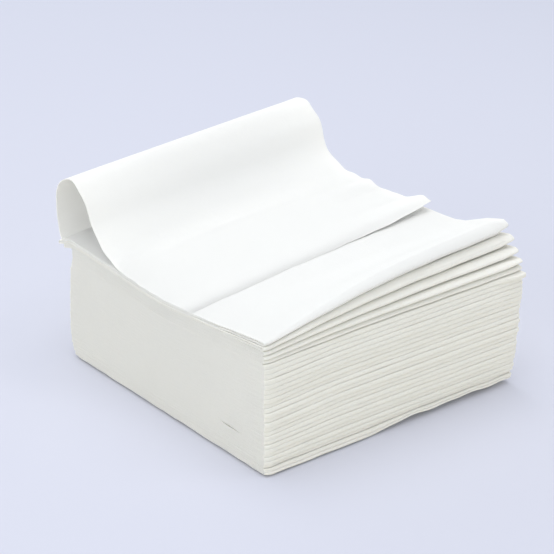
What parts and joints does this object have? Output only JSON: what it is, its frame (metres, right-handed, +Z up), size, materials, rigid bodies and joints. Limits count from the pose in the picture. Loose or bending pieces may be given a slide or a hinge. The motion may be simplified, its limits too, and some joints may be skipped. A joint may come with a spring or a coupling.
{
  "type": "stack of paper napkins",
  "caption": "Stack of plain interfolded paper napkins, pressed at one end, with the top folds fanning open and the top napkin curled over in an arch.",
  "frame": {"origin": "on the underside of the lowest napkin, half way along the folds and half way between the fold faces as they lie at the bottom of the near end", "axes": "+Z up out of the stack; +X along the folds, from the pressed end to the fanned end; +Y from the front fold face to the back one, over which the arch stands"},
  "size_m": [0.105, 0.1222, 0.074],
  "materials": {
    "tissue": "uncoated warm white two-ply tissue, matt, lightly embossed"
  },
  "bodies": {
    "root": {"napkin_01": "tissue", "napkin_02": "tissue", "napkin_03": "tissue", "napkin_04": "tissue", "napkin_05": "tissue", "napkin_06": "tissue", "napkin_07": "tissue", "napkin_08": "tissue", "napkin_09": "tissue", "napkin_10": "tissue", "napkin_11": "tissue", "napkin_12": "tissue", "napkin_13": "tissue", "napkin_14": "tissue", "napkin_15": "tissue", "napkin_16": "tissue", "napkin_17": "tissue", "napkin_18": "tissue", "napkin_19": "tissue", "napkin_20": "tissue", "napkin_21": "tissue", "napkin_22": "tissue", "napkin_23": "tissue", "napkin_24": "tissue", "napkin_25": "tissue", "napkin_26": "tissue", "napkin_27": "tissue", "napkin_28": "tissue", "napkin_29": "tissue", "napkin_30": "tissue", "napkin_31": "tissue", "napkin_32": "tissue", "napkin_33": "tissue", "napkin_34": "tissue", "napkin_35": "tissue", "napkin_36": "tissue", "napkin_37": "tissue", "napkin_38": "tissue", "napkin_39": "tissue", "napkin_40": "tissue", "napkin_41": "tissue", "napkin_42": "tissue", "napkin_43": "tissue", "napkin_44": "tissue", "napkin_45": "tissue", "napkin_46": "tissue", "napkin_47": "tissue", "napkin_48": "tissue", "napkin_49": "tissue", "napkin_50": "tissue", "napkin_51": "tissue", "napkin_52": "tissue", "napkin_53": "tissue", "napkin_54": "tissue", "napkin_55": "tissue", "napkin_56": "tissue", "napkin_57": "tissue", "napkin_58": "tissue", "napkin_59": "tissue", "napkin_60": "tissue"}
  },
  "joints": []
}
